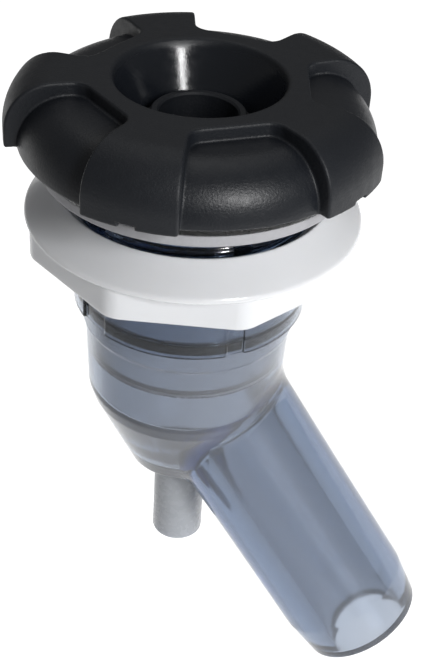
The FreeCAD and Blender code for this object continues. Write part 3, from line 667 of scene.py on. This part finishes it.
def ramp(tree, value, low, high, from_low=0.3, from_high=0.7):
    """The value's span, by default the middle of a noise, stretched to run from low to high."""
    node = tree.nodes.new("ShaderNodeMapRange")
    node.inputs["From Min"].default_value = from_low
    node.inputs["From Max"].default_value = from_high
    node.inputs["To Min"].default_value = low
    node.inputs["To Max"].default_value = high
    link(tree, value, node.inputs["Value"])
    return node.outputs["Result"]


def mix_colour(tree, share, first, second):
    node = tree.nodes.new("ShaderNodeMix")
    node.data_type = "RGBA"
    link(tree, share, node.inputs["Factor"])
    node.inputs["A"].default_value = (*first, 1.0)
    node.inputs["B"].default_value = (*second, 1.0)
    return node.outputs["Result"]


def bump(tree, shader, height, depth, strength=1.0):
    """Relief of the given depth in millimetres."""
    node = tree.nodes.new("ShaderNodeBump")
    node.inputs["Strength"].default_value = strength
    node.inputs["Distance"].default_value = depth * MM
    link(tree, height, node.inputs["Height"])
    link(tree, node.outputs["Normal"], shader.inputs["Normal"])


def charcoal_plastic():
    """Spark-textured charcoal moulding, smoother in the recesses and the bowl."""
    material, tree, shader = new_material("charcoal_plastic")
    smooth = tree.nodes.new("ShaderNodeAttribute")
    smooth.attribute_name = "smooth_area"
    grain = noise(tree, 0.5, detail=3.0, roughness=0.6)
    tone = mix_colour(tree, noise(tree, 14.0, 2.0), (0.0070, 0.0085, 0.0115), (0.0088, 0.0104, 0.0138))
    link(tree, tone, shader.inputs["Base Color"])
    rough = tree.nodes.new("ShaderNodeMix")
    link(tree, smooth.outputs["Fac"], rough.inputs["Factor"])
    rough.inputs["A"].default_value = 0.50
    rough.inputs["B"].default_value = 0.17
    spread = tree.nodes.new("ShaderNodeMath")
    spread.operation = "ADD"
    link(tree, rough.outputs["Result"], spread.inputs[0])
    link(tree, ramp(tree, noise(tree, 2.2), -0.04, 0.04), spread.inputs[1])
    link(tree, spread.outputs["Value"], shader.inputs["Roughness"])
    flat = tree.nodes.new("ShaderNodeMapRange")
    flat.inputs["To Min"].default_value = 1.0
    flat.inputs["To Max"].default_value = 0.25
    link(tree, smooth.outputs["Fac"], flat.inputs["Value"])
    height = tree.nodes.new("ShaderNodeMath")
    height.operation = "MULTIPLY"
    link(tree, grain, height.inputs[0])
    link(tree, flat.outputs["Result"], height.inputs[1])
    bump(tree, shader, height.outputs["Value"], 0.08)
    set_values(shader, IOR=1.5, Specular_IOR_Level=0.42)
    return material


def clear_plastic(name, tint, clarity, shine=0.5):
    """Clear blue-grey moulding, a little hazy; its colour deepens with the path through it."""
    material, tree, shader = new_material(name)
    set_values(shader, Base_Color=(*tint, 1.0), IOR=1.49, Transmission_Weight=clarity,
               Specular_IOR_Level=shine)
    link(tree, ramp(tree, noise(tree, 6.0), 0.09, 0.13), shader.inputs["Roughness"])
    bump(tree, shader, noise(tree, 9.0, 2.0), 0.03)
    depth = tree.nodes.new("ShaderNodeVolumeAbsorption")
    depth.inputs["Color"].default_value = (0.25, 0.45, 0.70, 1.0)
    depth.inputs["Density"].default_value = 68.0
    output = next(node for node in tree.nodes if node.type == "OUTPUT_MATERIAL")
    link(tree, depth.outputs["Volume"], output.inputs["Volume"])
    return material


def nut_plastic():
    """Natural white nut, slightly see-through."""
    material, tree, shader = new_material("natural_white_plastic")
    tone = mix_colour(tree, noise(tree, 18.0), (0.71, 0.72, 0.74), (0.77, 0.78, 0.80))
    link(tree, tone, shader.inputs["Base Color"])
    link(tree, ramp(tree, noise(tree, 3.0), 0.16, 0.22), shader.inputs["Roughness"])
    set_values(shader, IOR=1.5, Subsurface_Weight=0.35, Subsurface_Radius=(1.0, 0.95, 0.9),
               Subsurface_Scale=0.0025)
    bump(tree, shader, noise(tree, 4.0, 3.0), 0.03)
    return material


def gasket_foam():
    material, tree, shader = new_material("gasket_foam")
    tone = mix_colour(tree, noise(tree, 1.2, 3.0), (0.34, 0.34, 0.355), (0.41, 0.41, 0.43))
    link(tree, tone, shader.inputs["Base Color"])
    set_values(shader, Roughness=0.75)
    bump(tree, shader, noise(tree, 0.8, 3.0), 0.08)
    return material


def black_rubber():
    material, tree, shader = new_material("ring_rubber")
    tone = mix_colour(tree, noise(tree, 3.0), (0.010, 0.010, 0.011), (0.018, 0.018, 0.020))
    link(tree, tone, shader.inputs["Base Color"])
    link(tree, ramp(tree, noise(tree, 1.5), 0.22, 0.32), shader.inputs["Roughness"])
    set_values(shader, Specular_IOR_Level=0.15)
    return material


def milky_tube():
    material, tree, shader = new_material("milky_tube")
    tone = mix_colour(tree, noise(tree, 8.0), (0.36, 0.38, 0.41), (0.44, 0.46, 0.49))
    link(tree, tone, shader.inputs["Base Color"])
    link(tree, ramp(tree, noise(tree, 2.0), 0.22, 0.32), shader.inputs["Roughness"])
    set_values(shader, Subsurface_Weight=0.6, Subsurface_Radius=(1.0, 1.0, 1.1), Subsurface_Scale=0.003)
    return material


def white_plastic():
    material, tree, shader = new_material("white_bearing_plastic")
    tone = mix_colour(tree, noise(tree, 6.0), (0.70, 0.70, 0.70), (0.78, 0.78, 0.78))
    link(tree, tone, shader.inputs["Base Color"])
    set_values(shader, Roughness=0.45)
    return material


def metal(name, dark, light):
    material, tree, shader = new_material(name)
    link(tree, mix_colour(tree, noise(tree, 1.5), dark, light), shader.inputs["Base Color"])
    link(tree, ramp(tree, noise(tree, 0.7), 0.25, 0.4), shader.inputs["Roughness"])
    set_values(shader, Metallic=1.0)
    return material


MATERIALS = {
    "handle_plastic": charcoal_plastic(),
    "clear_plastic": clear_plastic("clear_plastic", (0.55, 0.57, 0.61), clarity=0.86),
    "nut_plastic": nut_plastic(),
    "white_plastic": white_plastic(),
    "pale_gasket": gasket_foam(),
    "black_rubber": black_rubber(),
    "milky_tube": milky_tube(),
    "steel": metal("plain_steel", (0.50, 0.50, 0.51), (0.62, 0.62, 0.63)),
    "dark_steel": metal("blackened_steel", (0.05, 0.05, 0.055), (0.08, 0.08, 0.085)),
}
INNER_CLEAR = clear_plastic("clear_inner_plastic", (0.86, 0.89, 0.93), clarity=0.94)
BARREL_CLEAR = clear_plastic("clear_barrel_plastic", (0.66, 0.71, 0.79), clarity=1.0, shine=0.25)


def dress_nodes():
    """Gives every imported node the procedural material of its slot; the rotor is moulded clearer."""
    slots = {part["node"]: part["material_slot"] for part in frame["record"]["subparts"]}
    for name, node in NODES.items():
        node.data.materials.clear()
        inner = name == "valve_rotor"
        node.data.materials.append(INNER_CLEAR if inner else MATERIALS[slots[name]])


def place(piece, body, slot, *replaced):
    """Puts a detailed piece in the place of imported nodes."""
    piece.data.materials.append(MATERIALS[slot])
    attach(piece, body)
    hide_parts(*replaced)


# ---------------------------------------------------------------- camera, light, floor

CAMERA_PLACE = (76.1, -234.2, 137.3)   # millimetres
CAMERA_RIGHT = (0.9447, 0.3234, 0.0547)
CAMERA_UP = (-0.2344, 0.5489, 0.8023)
SENSOR_WIDTH = 36.0
LENS = 70.7

LIGHT_AIM = (0.01, 0, -0.03)   # metres
WORLD_GLOW = 0.15
FLOOR_LEVEL = -0.35
FLOOR_HALF = 6.0
FLOOR_GLOW = (0.16, 0.85)      # at the near and the far end of the span below
FLOOR_GLOW_SPAN = (-0.2, 0.15)

CLEAR_BOUNCES = 40
OVERLAY_BOUNCES = 16


def make_camera():
    data = bpy.data.cameras.new("camera")
    data.sensor_width = SENSOR_WIDTH
    data.lens = LENS
    camera = bpy.data.objects.new("camera", data)
    right = Vector(CAMERA_RIGHT)
    up = Vector(CAMERA_UP)
    back = right.cross(up).normalized()
    up = back.cross(right).normalized()
    turn = Matrix((right.normalized(), up, back)).transposed().to_4x4()
    camera.matrix_world = Matrix.Translation(Vector(CAMERA_PLACE) * MM) @ turn
    bpy.context.scene.collection.objects.link(camera)
    bpy.context.scene.camera = camera


def softbox(name, azimuth, elevation, distance, width, height, power, mirrored=True):
    """A rectangular light aimed at the valve, in degrees, metres and watts.

    Azimuth 0 is +X and 90 is +Y. Unless mirrored, the light gives no highlight.
    """
    data = bpy.data.lights.new(name, "AREA")
    data.shape = "RECTANGLE"
    data.size = width
    data.size_y = height
    data.energy = power
    lamp = bpy.data.objects.new(name, data)
    lamp.visible_glossy = mirrored
    turn = math.radians(azimuth)
    rise = math.radians(elevation)
    away = Vector((math.cos(turn) * math.cos(rise), math.sin(turn) * math.cos(rise), math.sin(rise)))
    aim = Vector(LIGHT_AIM)
    lamp.location = aim + away * distance
    lamp.rotation_euler = away.to_track_quat("Z", "Y").to_euler()
    bpy.context.scene.collection.objects.link(lamp)


def make_stage():
    """A pale floor that glows more toward the back."""
    signs = ((-1, -1), (1, -1), (1, 1), (-1, 1))
    corners = [(FLOOR_HALF * x, FLOOR_HALF * y, FLOOR_LEVEL) for x, y in signs]
    mesh = bpy.data.meshes.new("floor")
    mesh.from_pydata(corners, [], [(0, 1, 2, 3)])
    floor = bpy.data.objects.new("floor", mesh)
    bpy.context.scene.collection.objects.link(floor)
    material, tree, shader = new_material("floor_paper")
    tone = mix_colour(tree, noise(tree, 60.0), (0.93, 0.93, 0.93), (0.95, 0.95, 0.95))
    link(tree, tone, shader.inputs["Base Color"])
    set_values(shader, Roughness=0.9, Emission_Color=(1, 1, 1, 1))
    split = tree.nodes.new("ShaderNodeSeparateXYZ")
    link(tree, object_place(tree), split.inputs["Vector"])
    glow = ramp(tree, split.outputs["Y"], *FLOOR_GLOW, *FLOOR_GLOW_SPAN)
    link(tree, glow, shader.inputs["Emission Strength"])
    mesh.materials.append(material)


def make_light():
    softbox("key", azimuth=-43.0, elevation=34.0, distance=0.75, width=0.09, height=0.25, power=3.2)
    softbox("front", azimuth=-30.0, elevation=6.0, distance=0.9, width=0.5, height=0.5, power=3.4,
            mirrored=False)
    softbox("top", azimuth=120.0, elevation=70.0, distance=0.9, width=0.7, height=0.7, power=1.0)
    world = bpy.data.worlds.new("world")
    world.use_nodes = True
    background = world.node_tree.nodes["Background"]
    background.inputs["Color"].default_value = (1, 1, 1, 1)
    background.inputs["Strength"].default_value = WORLD_GLOW
    bpy.context.scene.world = world


def set_view():
    scene = bpy.context.scene
    scene.view_settings.view_transform = "Standard"
    scene.cycles.max_bounces = CLEAR_BOUNCES
    scene.cycles.transmission_bounces = CLEAR_BOUNCES
    scene.cycles.transparent_max_bounces = OVERLAY_BOUNCES


# ---------------------------------------------------------------- everything together

dress_nodes()
place(make_handle(), HANDLE, "handle_plastic", "valve_handle")
place(make_nut(), NUT, "nut_plastic", "retaining_nut")
barrel = make_barrel()
place(barrel, BODY, "clear_plastic", "barrel")
barrel.data.materials[0] = BARREL_CLEAR
place(make_lower_body(), BODY, "clear_plastic", "lower_body")
place(make_gasket(), BODY, "pale_gasket", "deck_gasket")
place(make_drain(), BODY, "milky_tube", "drain_tube")
place(make_squeezed_ring(), BODY, "black_rubber", "barrel_oring")
make_camera()
make_light()
make_stage()
set_view()
